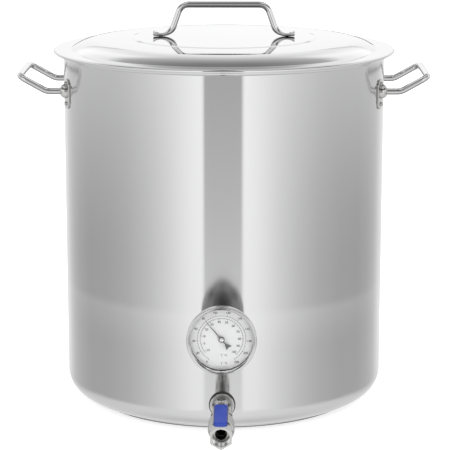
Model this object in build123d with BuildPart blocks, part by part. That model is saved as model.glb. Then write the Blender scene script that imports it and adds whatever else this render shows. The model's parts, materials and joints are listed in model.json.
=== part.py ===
from build123d import *
import os
from math import asin, atan2, cos, degrees, radians, sin, sqrt, tan

os.makedirs("parts", exist_ok=True)

# Brew kettle with a lift-off lid, a dial thermometer and a ball valve.
# Millimetres. Origin: centre of the base on the surface it stands on. +Z up, the valve points to -Y.

# ---------------------------------------------------------------- driving dimensions
POT_R = 200.0            # outside radius of the wall
WALL = 1.0               # sheet of the pot and of the lid
CORNER_R = 26.0          # outside radius of the bottom corner
BASE_H = 5.5             # height of the disc base under the shell
BASE_R = 172.0           # outside radius of the disc base
BEAD_R = 3.5             # outside radius of the rolled rim
BEAD_Z = 436.7           # height of the rolled rim's centre
BEAD_END = 130.0         # the rim's roll ends this far below its outermost point, in degrees

LID_TOP = 455.5          # lid's top at its centre
LID_DISC_R = 113.0       # raised middle disc
LID_DISC_DROP = 0.8      # crown of the middle disc
LID_STEP = 0.8           # step round the middle disc
LID_STEP_W = 4.0
LID_SLOPE_R = 160.0      # the lid starts to curve down here
LID_SLOPE_DROP = 1.8
LID_SHOULDER_R = 61.3    # radius of the curved shoulder
LID_SHOULDER_START = 4.0     # slope of the shoulder at its top, degrees
LID_SHOULDER_TURN = 30.0
LID_CREASE_R = 1.5       # where the shoulder meets the flange
LID_FLANGE_R = 212.0     # outside radius of the lid
LID_ROLL_R = 2.2         # rolled edge of the lid
LID_ROLL_TURN = 250.0

TUBE_R = 4.1             # handle tubes
TUBE_WALL = 1.0
LID_BAR_Z = 494.5        # centre of the lid handle's bar
LID_LEG_TOP_X = 53.2     # corners of the lid handle's centre line
LID_LEG_FOOT_X = 66.4
LID_FOOT_Z = 457.25
LID_FOOT_FLAT = 2.1      # half height of the flattened, welded foot
LID_END_X = 88.0
LID_TOP_BEND_R = 13.0
LID_FOOT_BEND_R = 16.5

LEG_Y = 58.5             # side handle legs, from the middle
LEG_ROOT_X = 195.0
LEG_KNEE_X = 217.0
GRIP_X = 249.3
LEG_Z = 394.5
GRIP_Z = 412.6
KNEE_BEND_R = 18.0
GRIP_BEND_R = 9.0
BRACKET_W = 24.0
BRACKET_H = 36.5
BRACKET_T = 1.6
BRACKET_CORNER_R = 8.0
BRACKET_Z = 391.5
SOCKET_TIP_X = 199.8     # end of the bracket's domed socket
SOCKET_TIP_R = 5.3
SOCKET_BASE_R = 8.8
RIVET_SPREAD = 12.4      # rivets above and below the bracket's centre
RIVET_R = 1.9
RIVET_HEAD_R = 3.0
RIVET_HEAD_H = 2.4
RIVET_TAIL_R = 3.2
RIVET_TAIL_H = 1.2

FIT = 0.05               # radial clearance of threads, pins and press fits
GAP = 0.3                # clearance between bodies that move past each other

THERMO_Z = 134.7         # thermometer axis
BEZEL_R = 40.6
DIAL_OPEN_R = 36.3       # opening of the bezel
BEZEL_FRONT = 263.0      # distances marked this way are from the pot's axis, towards the front
PROBE_TIP = 115.0
PROBE_R = 3.2
NEEDLE_ANGLE = 40.35     # the pointer rests this far left of the top: 80 on the outer scale
NEEDLE_LENGTH = 27.8

VALVE_Z = 39.0           # valve axis
THREAD_R = 10.4          # half-inch pipe thread, male
THREAD_BORE_R = THREAD_R + FIT
STEM_D = 285.0           # valve stem, from the pot's axis
OUTLET_D = 325.5         # outlet face
BALL_R = 10.4
PORT_R = 7.0
BARREL_R = 15.2
OUTLET_HEX = 24.8        # across flats
SLEEVE_END = 369.0

WALL_HOLE_R = THREAD_R + 0.4


# ---------------------------------------------------------------- shared helpers
def save(piece, name):
    """Label a finished piece and write it as its own STEP file."""
    piece.part.label = name
    export_step(piece.part, f"parts/{name}.step")


def front_section(height):
    """Plane through a front fitting's axis: local X runs from the pot's axis to the front, local Y is its radius."""
    return Plane(origin=(0, 0, height), x_dir=(0, -1, 0), z_dir=(-1, 0, 0))


def front_face(distance, height):
    """Plane square to a front fitting's axis, facing the front: local X is +X, local Y is +Z."""
    return Plane(origin=(0, -distance, height), x_dir=(1, 0, 0), z_dir=(0, -1, 0))


def turned(plane, outline):
    """Turned piece: the outline's points are (distance, radius) in the plane, spun about its local X axis."""
    with BuildPart() as piece:
        with BuildSketch(plane):
            with BuildLine():
                Polyline(*outline, close=True)
            make_face()
        revolve(axis=Axis(plane.origin, plane.x_dir))
    return piece


def washer(height, near, far, inner_r, outer_r):
    """Flat ring round a front fitting's axis, between two distances."""
    return turned(front_section(height), [(near, inner_r), (far, inner_r), (far, outer_r), (near, outer_r)])


def hex_radius(across_flats):
    """Corner radius of a hexagon."""
    return across_flats / 2 / cos(radians(30))


def chamfered_hex_nut(height, near, far, bore_r, across_flats):
    """Hexagon nut round a front fitting's axis, with its corners turned off at both ends."""
    corner = hex_radius(across_flats)
    bevel = (corner - across_flats / 2) * 0.5
    with BuildPart() as nut:
        with BuildSketch(front_face(near, height)):
            RegularPolygon(corner, 6, rotation=30)
            Circle(bore_r, mode=Mode.SUBTRACT)
        extrude(amount=far - near)
        with BuildSketch(front_section(height)):
            with BuildLine():
                Polyline(
                    (near, 0), (near, across_flats / 2), (near + bevel, corner), (far - bevel, corner),
                    (far, across_flats / 2), (far, 0), close=True,
                )
            make_face()
        revolve(axis=Axis((0, 0, height), (0, -1, 0)), mode=Mode.INTERSECT)
    return nut


# ---------------------------------------------------------------- pot shell
INNER_R = POT_R - WALL
CORNER_C_R = POT_R - CORNER_R
CORNER_C_Z = BASE_H + CORNER_R
BEAD_C_R = INNER_R + BEAD_R
RIM_TOP = BEAD_Z + BEAD_R


def bracket_plane(side, end, height):
    """Plane on the wall at a bracket, facing outwards: side is +1 for +X, end is +1 for +Y."""
    out_x = side * sqrt(POT_R**2 - LEG_Y**2) / POT_R
    out_y = end * LEG_Y / POT_R
    return Plane(
        origin=(POT_R * out_x, POT_R * out_y, height), x_dir=(-out_y, out_x, 0), z_dir=(out_x, out_y, 0)
    )


RIVET_PLANES = [
    bracket_plane(side, end, BRACKET_Z + step)
    for side in (-1, 1)
    for end in (-1, 1)
    for step in (-RIVET_SPREAD, RIVET_SPREAD)
]

with BuildPart() as pot_shell:
    with BuildSketch(Plane.XZ):
        with BuildLine():
            Line((0, BASE_H), (CORNER_C_R, BASE_H))
            CenterArc((CORNER_C_R, CORNER_C_Z), CORNER_R, -90, 90)
            Line((POT_R, CORNER_C_Z), (POT_R, BEAD_Z))
            rim_inside = CenterArc((BEAD_C_R, BEAD_Z), BEAD_R - WALL, 180, -180 - BEAD_END)
            rim_outside = CenterArc((BEAD_C_R, BEAD_Z), BEAD_R, 180, -180 - BEAD_END)
            Line(rim_inside @ 1, rim_outside @ 1)
            Line((INNER_R, BEAD_Z), (INNER_R, CORNER_C_Z))
            CenterArc((CORNER_C_R, CORNER_C_Z), CORNER_R - WALL, 0, -90)
            Line((CORNER_C_R, BASE_H + WALL), (0, BASE_H + WALL))
            Line((0, BASE_H + WALL), (0, BASE_H))
        make_face()
    revolve(axis=Axis.Z)
    for fitting_height in (THERMO_Z, VALVE_Z):
        with BuildSketch(front_face(INNER_R - 10, fitting_height)):
            Circle(WALL_HOLE_R)
        extrude(amount=20, mode=Mode.SUBTRACT)
    for rivet_plane in RIVET_PLANES:
        with BuildSketch(rivet_plane.offset(-10)):
            Circle(RIVET_R + FIT)
        extrude(amount=20, mode=Mode.SUBTRACT)
save(pot_shell, "pot_shell")

# Solid outlines of the pot, used to trim what lies against its wall.
with BuildPart() as pot_outside:
    with BuildSketch(Plane.XZ):
        with BuildLine():
            Line((0, BASE_H), (CORNER_C_R, BASE_H))
            CenterArc((CORNER_C_R, CORNER_C_Z), CORNER_R, -90, 90)
            Polyline((POT_R, CORNER_C_Z), (POT_R, BEAD_Z), (0, BEAD_Z), (0, BASE_H))
        make_face()
    revolve(axis=Axis.Z)

with BuildPart() as pot_inside:
    with BuildSketch(Plane.XZ):
        with BuildLine():
            Line((0, BASE_H + WALL), (CORNER_C_R, BASE_H + WALL))
            CenterArc((CORNER_C_R, CORNER_C_Z), CORNER_R - WALL, -90, 90)
            Polyline((INNER_R, CORNER_C_Z), (INNER_R, BEAD_Z), (0, BEAD_Z), (0, BASE_H + WALL))
        make_face()
    revolve(axis=Axis.Z)


# ---------------------------------------------------------------- disc base
CAP_EDGE_R = 3.0

with BuildPart() as base_cap:
    with BuildSketch(Plane.XZ):
        with BuildLine():
            Line((0, 0), (BASE_R - CAP_EDGE_R, 0))
            CenterArc((BASE_R - CAP_EDGE_R, CAP_EDGE_R), CAP_EDGE_R, -90, 90)
            Polyline((BASE_R, CAP_EDGE_R), (BASE_R, BASE_H), (BASE_R - WALL, BASE_H), (BASE_R - WALL, CAP_EDGE_R))
            CenterArc((BASE_R - CAP_EDGE_R, CAP_EDGE_R), CAP_EDGE_R - WALL, 0, -90)
            Polyline((BASE_R - CAP_EDGE_R, WALL), (0, WALL), (0, 0))
        make_face()
    revolve(axis=Axis.Z)
save(base_cap, "base_cap")

with BuildPart() as base_core:
    with BuildSketch(Plane.XY.offset(WALL)):
        Circle(BASE_R - WALL - FIT)
    extrude(amount=BASE_H - WALL)
    chamfer(base_core.edges().group_by(Axis.Z)[0], CAP_EDGE_R - WALL)
save(base_core, "base_core")


# ---------------------------------------------------------------- lid
with BuildPart() as lid_shell:
    with BuildSketch(Plane.XZ):
        with BuildLine():
            disc_edge_z = LID_TOP - LID_DISC_DROP
            step_r = LID_DISC_R + LID_STEP_W
            slope_z = disc_edge_z - LID_STEP
            TangentArc((0, LID_TOP), (LID_DISC_R, disc_edge_z), tangent=(1, 0))
            Line((LID_DISC_R, disc_edge_z), (step_r, slope_z))
            slope_mid = ((step_r + LID_SLOPE_R) / 2, slope_z - LID_SLOPE_DROP * 0.35)
            slope_end = (LID_SLOPE_R, slope_z - LID_SLOPE_DROP)
            ThreePointArc((step_r, slope_z), slope_mid, slope_end)
            start_slope = radians(LID_SHOULDER_START)
            shoulder = JernArc(slope_end, (cos(start_slope), -sin(start_slope)), LID_SHOULDER_R, -LID_SHOULDER_TURN)
            crease = JernArc(
                shoulder @ 1, shoulder % 1, LID_CREASE_R, LID_SHOULDER_START + LID_SHOULDER_TURN
            )
            roll_start = (LID_FLANGE_R - LID_ROLL_R, (crease @ 1).Y)
            Line(crease @ 1, roll_start)
            JernArc(roll_start, (1, 0), LID_ROLL_R, -LID_ROLL_TURN)
            offset(amount=WALL, side=Side.RIGHT)
        make_face()
    revolve(axis=Axis.Z)
save(lid_shell, "lid_shell")

# Lid handle: a bent tube whose ends are flattened where they are welded to the lid.
LEG_SLOPE = atan2(LID_BAR_Z - LID_FOOT_Z, LID_LEG_FOOT_X - LID_LEG_TOP_X)
FOOT_TANGENT = LID_FOOT_BEND_R * tan(LEG_SLOPE / 2)


def foot_sections(side):
    """Planes along one end of the lid handle with the half width and half height of the tube at each."""
    bend_x = LID_LEG_FOOT_X + FOOT_TANGENT
    sections = []
    for turn, half_width, half_height in (
        (LEG_SLOPE, TUBE_R, TUBE_R),
        (LEG_SLOPE * 0.5, 4.7, 3.4),
        (0, 5.7, LID_FOOT_FLAT),
    ):
        x = bend_x - LID_FOOT_BEND_R * sin(turn)
        z = LID_FOOT_Z + LID_FOOT_BEND_R * (1 - cos(turn))
        sections.append((x, z, turn, half_width, half_height))
    sections.append((LID_END_X, LID_FOOT_Z + 2.0, 0, 4.6, 3.6))
    return [
        (
            Plane(origin=(side * x, 0, z), x_dir=(0, 1, 0), z_dir=(side * cos(turn), 0, -sin(turn))),
            half_width,
            half_height,
        )
        for x, z, turn, half_width, half_height in sections
    ]


with BuildPart() as lid_handle:
    with BuildLine() as bar_path:
        leg_x = LID_LEG_FOOT_X - FOOT_TANGENT * cos(LEG_SLOPE)
        leg_z = LID_FOOT_Z + FOOT_TANGENT * sin(LEG_SLOPE)
        FilletPolyline(
            (-leg_x, 0, leg_z),
            (-LID_LEG_TOP_X, 0, LID_BAR_Z),
            (LID_LEG_TOP_X, 0, LID_BAR_Z),
            (leg_x, 0, leg_z),
            radius=LID_TOP_BEND_R,
        )
    with BuildSketch(Plane(origin=bar_path.line @ 0, z_dir=bar_path.line % 0)):
        Circle(TUBE_R)
        Circle(TUBE_R - TUBE_WALL, mode=Mode.SUBTRACT)
    sweep(path=bar_path.line)
    for side in (-1, 1):
        for plane, half_width, half_height in foot_sections(side):
            with BuildSketch(plane):
                Ellipse(half_width, half_height)
        loft()
    for side in (-1, 1):
        for plane, half_width, half_height in foot_sections(side)[-2:]:
            with BuildSketch(plane):
                Ellipse(half_width - TUBE_WALL, half_height - TUBE_WALL)
        loft(mode=Mode.SUBTRACT)
save(lid_handle, "lid_handle")


# ---------------------------------------------------------------- side handles
for side, handle_name in ((-1, "left_handle"), (1, "right_handle")):
    with BuildPart() as side_handle:
        with BuildLine() as grip_path:
            FilletPolyline(
                (side * LEG_ROOT_X, -LEG_Y, LEG_Z),
                (side * LEG_KNEE_X, -LEG_Y, LEG_Z),
                (side * GRIP_X, -LEG_Y, GRIP_Z),
                (side * GRIP_X, LEG_Y, GRIP_Z),
                (side * LEG_KNEE_X, LEG_Y, LEG_Z),
                (side * LEG_ROOT_X, LEG_Y, LEG_Z),
                radius=[KNEE_BEND_R, GRIP_BEND_R, GRIP_BEND_R, KNEE_BEND_R],
            )
        with BuildSketch(Plane(origin=grip_path.line @ 0, z_dir=grip_path.line % 0)):
            Circle(TUBE_R)
            Circle(TUBE_R - TUBE_WALL, mode=Mode.SUBTRACT)
        sweep(path=grip_path.line)
    save(side_handle, handle_name)


def handle_bracket(side, end):
    """Plate that hugs the wall, pressed out into a domed socket for one leg of a side handle."""
    leg_axis = Axis((0, end * LEG_Y, LEG_Z), (side, 0, 0))
    with BuildPart() as bracket:
        with BuildSketch(bracket_plane(side, end, BRACKET_Z).offset(-10)):
            RectangleRounded(BRACKET_W, BRACKET_H, BRACKET_CORNER_R)
        extrude(amount=20)
        with BuildSketch(Plane.XY.offset(BRACKET_Z - BRACKET_H)):
            Circle(POT_R + BRACKET_T)
        extrude(amount=2 * BRACKET_H, mode=Mode.INTERSECT)
        with BuildSketch(Plane(origin=(0, end * LEG_Y, LEG_Z), x_dir=(side, 0, 0), z_dir=(0, -side, 0))):
            with BuildLine():
                dome = ThreePointArc(
                    (SOCKET_TIP_X - 6.5, SOCKET_BASE_R),
                    (SOCKET_TIP_X - 2.2, SOCKET_BASE_R - 1.2),
                    (SOCKET_TIP_X, SOCKET_TIP_R),
                )
                Polyline(dome @ 1, (SOCKET_TIP_X, 0), (SOCKET_TIP_X - 20, 0), (SOCKET_TIP_X - 20, SOCKET_BASE_R), dome @ 0)
            make_face()
        revolve(axis=leg_axis)
        with BuildSketch(Plane.XY.offset(BRACKET_Z - BRACKET_H)):
            Circle(POT_R + FIT)
        extrude(amount=2 * BRACKET_H, mode=Mode.SUBTRACT)
        with BuildSketch(Plane(origin=(side * (LEG_ROOT_X - 0.2), end * LEG_Y, LEG_Z), z_dir=(side, 0, 0))):
            Circle(TUBE_R + FIT)
        extrude(amount=20, mode=Mode.SUBTRACT)
        for step in (-RIVET_SPREAD, RIVET_SPREAD):
            with BuildSketch(bracket_plane(side, end, BRACKET_Z + step).offset(-10)):
                Circle(RIVET_R + FIT)
            extrude(amount=20, mode=Mode.SUBTRACT)
            with BuildSketch(bracket_plane(side, end, BRACKET_Z + step).offset(BRACKET_T)):
                Circle(RIVET_HEAD_R + FIT)
            extrude(amount=10, mode=Mode.SUBTRACT)
    return bracket


for side, side_name in ((-1, "left"), (1, "right")):
    for end, end_name in ((-1, "front"), (1, "rear")):
        save(handle_bracket(side, end), f"{side_name}_{end_name}_bracket")

with BuildPart() as one_rivet:
    head_sphere_r = (RIVET_HEAD_R**2 + RIVET_HEAD_H**2) / (2 * RIVET_HEAD_H)
    tail_z = -WALL - 2 * FIT
    with BuildSketch(Plane.XZ):
        with BuildLine():
            head_top = (0, BRACKET_T + FIT + RIVET_HEAD_H)
            head_rim = (RIVET_HEAD_R, BRACKET_T + FIT)
            RadiusArc(head_top, head_rim, head_sphere_r)
            Polyline(
                head_rim, (RIVET_R, BRACKET_T + FIT), (RIVET_R, tail_z), (RIVET_TAIL_R, tail_z),
                (RIVET_TAIL_R, tail_z - RIVET_TAIL_H), (0, tail_z - RIVET_TAIL_H), head_top,
            )
        make_face()
    revolve(axis=Axis.Z)

with BuildPart() as handle_rivets:
    with Locations(*[Location(plane) for plane in RIVET_PLANES]):
        add(one_rivet.part)
save(handle_rivets, "handle_rivets")


# ---------------------------------------------------------------- seals against the wall
def wall_seal(height, outer_r):
    """Rubber ring pressed against the outside of the wall, with a rounded outer edge."""
    lip = 203.4
    with BuildPart() as seal:
        with BuildSketch(front_section(height)):
            with BuildLine():
                Polyline(
                    (POT_R - 6, THREAD_R + 0.4), (lip, THREAD_R + 0.4), (lip, outer_r - 0.9), (lip - 1.1, outer_r),
                    (POT_R - 6, outer_r), close=True,
                )
            make_face()
        revolve(axis=Axis((0, 0, height), (0, -1, 0)))
        add(pot_outside.part, mode=Mode.SUBTRACT)
    return seal


def inner_seal(height, outer_r, near):
    """Rubber ring pressed against the inside of the wall."""
    with BuildPart() as seal:
        with BuildSketch(front_face(near, height)):
            Circle(outer_r)
            Circle(THREAD_R + 0.4, mode=Mode.SUBTRACT)
        extrude(amount=POT_R - near)
        add(pot_inside.part, mode=Mode.INTERSECT)
    return seal


# ---------------------------------------------------------------- thermometer
THERMO_SECTION = front_section(THERMO_Z)
CASE_R = 39.0
CASE_BACK = BEZEL_FRONT - 24.0
CASE_FRONT = CASE_BACK + 17.4
CASE_SHEET = 0.9
DIAL_FRONT = CASE_BACK + 13.6
DIAL_SHEET = 0.6
LENS_NEAR = CASE_BACK + 18.8
LENS_FAR = LENS_NEAR + 2.2
LENS_R = 38.9
BEZEL_LIP = LENS_FAR + 0.2
BEZEL_BACK = CASE_BACK + 16.0
BEZEL_ROUND = 1.4
SPIGOT_R = 6.0
FITTING_FACE = 204.5     # the hexagon bears on the outer washer here
FITTING_HEX_FAR = 218.0
NECK_R = 9.0
POINTER_NEAR = DIAL_FRONT + 1.8
POINTER_FAR = POINTER_NEAR + 0.4
HUB_R = 3.6

save(washer(THERMO_Z, 203.4, FITTING_FACE, THREAD_R + 0.4, 16.0), "thermo_outer_washer")
save(wall_seal(THERMO_Z, 15.2), "thermo_outer_seal")
save(inner_seal(THERMO_Z, 15.0, 196.4), "thermo_inner_seal")
save(washer(THERMO_Z, 195.2, 196.4, THREAD_R + 0.4, 16.0), "thermo_inner_washer")
save(chamfered_hex_nut(THERMO_Z, 188.0, 195.2, THREAD_BORE_R, 28.0), "thermo_lock_nut")

with BuildPart() as thermo_fitting:
    with BuildSketch(front_face(FITTING_FACE, THERMO_Z)):
        RegularPolygon(hex_radius(24.0), 6, rotation=30)
    extrude(amount=FITTING_HEX_FAR - FITTING_FACE)
    with BuildSketch(front_face(FITTING_HEX_FAR, THERMO_Z)):
        Circle(NECK_R)
    extrude(amount=CASE_BACK - FITTING_HEX_FAR)
    with BuildSketch(front_face(184.0, THERMO_Z)):
        Circle(THREAD_R)
    extrude(amount=FITTING_FACE - 184.0)
    with BuildSketch(front_face(CASE_BACK, THERMO_Z)):
        Circle(SPIGOT_R)
    extrude(amount=CASE_SHEET + 1.2)
    with BuildSketch(front_face(CASE_BACK + CASE_SHEET, THERMO_Z)):
        Circle(SPIGOT_R + 1.4)
    extrude(amount=1.2)
    with BuildSketch(front_face(184.0, THERMO_Z)):
        Circle(PROBE_R + FIT)
    extrude(amount=CASE_BACK + 10 - 184.0, mode=Mode.SUBTRACT)
save(thermo_fitting, "thermo_fitting")

thermo_case = turned(
    THERMO_SECTION,
    [
        (CASE_BACK, SPIGOT_R + FIT), (CASE_BACK, 25.0), (CASE_BACK + 3.5, 32.5), (CASE_BACK + 8.5, 36.6),
        (CASE_BACK + 12.0, CASE_R), (CASE_FRONT, CASE_R), (CASE_FRONT, CASE_R - CASE_SHEET),
        (CASE_BACK + 12.4, CASE_R - CASE_SHEET), (CASE_BACK + 9.1, 35.8), (CASE_BACK + 4.2, 31.8),
        (CASE_BACK + CASE_SHEET, 24.6), (CASE_BACK + CASE_SHEET, SPIGOT_R + FIT),
    ],
)
save(thermo_case, "thermo_case")

with BuildPart() as thermo_bezel:
    with BuildSketch(THERMO_SECTION):
        with BuildLine():
            rim_r = BEZEL_R - BEZEL_ROUND
            rim_d = BEZEL_FRONT - BEZEL_ROUND
            Polyline((BEZEL_BACK, CASE_R + 0.1), (BEZEL_BACK, BEZEL_R), (rim_d, BEZEL_R))
            CenterArc((rim_d, rim_r), BEZEL_ROUND, 90, -90)
            ThreePointArc((BEZEL_FRONT, rim_r), (BEZEL_FRONT - 0.8, 37.5), (BEZEL_LIP + 0.4, DIAL_OPEN_R))
            Polyline(
                (BEZEL_LIP + 0.4, DIAL_OPEN_R), (BEZEL_LIP, DIAL_OPEN_R), (BEZEL_LIP, CASE_R + 0.1),
                (BEZEL_BACK, CASE_R + 0.1),
            )
        make_face()
    revolve(axis=Axis((0, 0, THERMO_Z), (0, -1, 0)))
save(thermo_bezel, "thermo_bezel")

with BuildPart() as thermo_lens:
    with BuildSketch(front_face(LENS_NEAR, THERMO_Z)):
        Circle(LENS_R)
    extrude(amount=LENS_FAR - LENS_NEAR)
    chamfer(thermo_lens.edges(), 0.3)
save(thermo_lens, "thermo_lens")

thermo_lens_gasket = turned(
    THERMO_SECTION,
    [
        (DIAL_FRONT + 0.1, 36.5), (LENS_NEAR - FIT, 36.5), (LENS_NEAR - FIT, LENS_R), (CASE_FRONT + 0.1, LENS_R),
        (CASE_FRONT + 0.1, CASE_R - CASE_SHEET - FIT), (DIAL_FRONT + 0.1, CASE_R - CASE_SHEET - FIT),
    ],
)
save(thermo_lens_gasket, "thermo_lens_gasket")

thermo_dial = turned(
    THERMO_SECTION,
    [
        (DIAL_FRONT - DIAL_SHEET, 1.6), (DIAL_FRONT, 1.6), (DIAL_FRONT, 37.6), (DIAL_FRONT - 1.7, 37.6),
        (DIAL_FRONT - 1.7, 37.0), (DIAL_FRONT - DIAL_SHEET, 37.0),
    ],
)
save(thermo_dial, "thermo_dial")

needle_direction = Plane(
    origin=(0, -POINTER_NEAR, THERMO_Z),
    x_dir=(cos(radians(NEEDLE_ANGLE)), 0, sin(radians(NEEDLE_ANGLE))),
    z_dir=(0, -1, 0),
)
with BuildPart() as thermo_pointer:
    with BuildSketch(needle_direction):
        with BuildLine():
            Polyline(
                (-0.75, 0), (-0.2, NEEDLE_LENGTH), (0.2, NEEDLE_LENGTH), (0.75, 0), (0.6, -6.2), (3.9, -13.4),
                (0, -12.2), (-3.9, -13.4), (-0.6, -6.2), close=True,
            )
        make_face()
        Circle(2.6)
        Circle(0.65, mode=Mode.SUBTRACT)
    extrude(amount=POINTER_FAR - POINTER_NEAR)
save(thermo_pointer, "thermo_pointer")

thermo_pointer_hub = turned(
    THERMO_SECTION,
    [
        (POINTER_FAR, 0.65), (POINTER_FAR, HUB_R), (POINTER_FAR + 0.9, HUB_R), (POINTER_FAR + 1.4, HUB_R - 0.5),
        (POINTER_FAR + 1.4, HUB_R - 1.2), (POINTER_FAR + 0.8, HUB_R - 1.6), (POINTER_FAR + 0.8, 1.3),
        (POINTER_FAR + 1.7, 0.9), (POINTER_FAR + 1.7, 0.65),
    ],
)
save(thermo_pointer_hub, "thermo_pointer_hub")

with BuildPart() as thermo_shaft:
    with BuildSketch(front_face(PROBE_TIP + 4, THERMO_Z)):
        Circle(0.6)
    extrude(amount=POINTER_FAR + 1.6 - PROBE_TIP - 4)
save(thermo_shaft, "thermo_shaft")

COIL_PITCH = 2.4
COIL_TURNS = 14
with BuildPart() as thermo_bimetal_coil:
    with BuildLine() as coil_path:
        Helix(
            pitch=COIL_PITCH,
            height=COIL_PITCH * COIL_TURNS,
            radius=1.5,
            center=(0, -(PROBE_TIP + 5), THERMO_Z),
            direction=(0, -1, 0),
        )
    with BuildSketch(Plane(origin=coil_path.line @ 0, z_dir=coil_path.line % 0)):
        Circle(0.35)
    sweep(path=coil_path.line, is_frenet=True)
save(thermo_bimetal_coil, "thermo_bimetal_coil")

thermo_stem = turned(
    THERMO_SECTION,
    [
        (PROBE_TIP, 0), (PROBE_TIP, PROBE_R - 1), (PROBE_TIP + 1, PROBE_R), (CASE_BACK + 1.5, PROBE_R),
        (CASE_BACK + 1.5, PROBE_R - 0.7), (PROBE_TIP + 2, PROBE_R - 0.7), (PROBE_TIP + 2, 0),
    ],
)
save(thermo_stem, "thermo_stem")


# ---------------------------------------------------------------- valve: bulkhead and nipple
VALVE_SECTION = front_section(VALVE_Z)
COUPLING_R = 12.3
COUPLING_NEAR = 205.5
COUPLING_FAR = 246.0
SHANK_NEAR = 178.0
NIPPLE_BORE_R = 7.5
NIPPLE_HEX_FAR = 251.0
SOCKET_DEPTH = 15.0

save(wall_seal(VALVE_Z, 15.8), "valve_outer_oring")
save(inner_seal(VALVE_Z, 14.6, 194.2), "valve_inner_oring")
save(washer(VALVE_Z, 192.8, 194.2, THREAD_R + 0.4, 15.2), "valve_inner_washer")
save(chamfered_hex_nut(VALVE_Z, 184.6, 192.8, THREAD_BORE_R, 28.0), "valve_lock_nut")

valve_cup_washer = turned(
    VALVE_SECTION,
    [
        (203.4, THREAD_R + 0.4), (203.4, 14.1), (203.8, 14.6), (204.9, 14.6), (205.5, 14.0), (205.5, THREAD_R + 0.4),
    ],
)
save(valve_cup_washer, "valve_cup_washer")

valve_bulkhead = turned(
    VALVE_SECTION,
    [
        (SHANK_NEAR, NIPPLE_BORE_R), (SHANK_NEAR, THREAD_R - 0.8), (SHANK_NEAR + 0.8, THREAD_R),
        (COUPLING_NEAR, THREAD_R), (COUPLING_NEAR, COUPLING_R - 0.5), (COUPLING_NEAR + 0.5, COUPLING_R),
        (COUPLING_FAR - 0.8, COUPLING_R), (COUPLING_FAR, COUPLING_R - 0.8), (COUPLING_FAR, THREAD_BORE_R),
        (COUPLING_FAR - SOCKET_DEPTH - 1, THREAD_BORE_R), (COUPLING_FAR - SOCKET_DEPTH - 1, NIPPLE_BORE_R),
    ],
)
save(valve_bulkhead, "valve_bulkhead")

with BuildPart() as valve_nipple:
    with BuildSketch(front_face(COUPLING_FAR + 0.2, VALVE_Z)):
        RegularPolygon(hex_radius(23.0), 6, rotation=30)
    extrude(amount=NIPPLE_HEX_FAR - COUPLING_FAR - 0.2)
    with BuildSketch(front_face(COUPLING_FAR - SOCKET_DEPTH, VALVE_Z)):
        Circle(THREAD_R)
    extrude(amount=NIPPLE_HEX_FAR + 12.5 - COUPLING_FAR + SOCKET_DEPTH)
    with BuildSketch(front_face(COUPLING_FAR - SOCKET_DEPTH, VALVE_Z)):
        Circle(NIPPLE_BORE_R)
    extrude(amount=NIPPLE_HEX_FAR + 12.5 - COUPLING_FAR + SOCKET_DEPTH, mode=Mode.SUBTRACT)
save(valve_nipple, "valve_nipple")


# ---------------------------------------------------------------- valve: body, end cap and ball
INLET_D = NIPPLE_HEX_FAR + 0.2
INLET_HEX_FAR = 262.5
CAVITY_R = 11.4
CAVITY_NEAR = STEM_D - 9.8
SEAT_T = 4.2
CAP_NEAR = STEM_D + 9.8
CAP_THREAD_R = 12.4
BODY_FAR = 300.2
CAP_COLLAR_FAR = 302.6
OUTLET_HEX_NEAR = 304.0
TOWER_R = 8.2
TOWER_TOP = 58.0
BARREL_TOP = VALVE_Z + BARREL_R
STEM_R = 4.0
PACKING_R = 6.4
LUG_R = 10.6
LUG_START = 106.5        # stop lug, degrees anticlockwise from +X
LUG_END = 163.5
VERTICAL = Axis((0, -STEM_D, 0), (0, 0, 1))


def stem_level(height):
    """Horizontal plane centred on the valve stem."""
    return Plane(origin=(0, -STEM_D, height))


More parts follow.
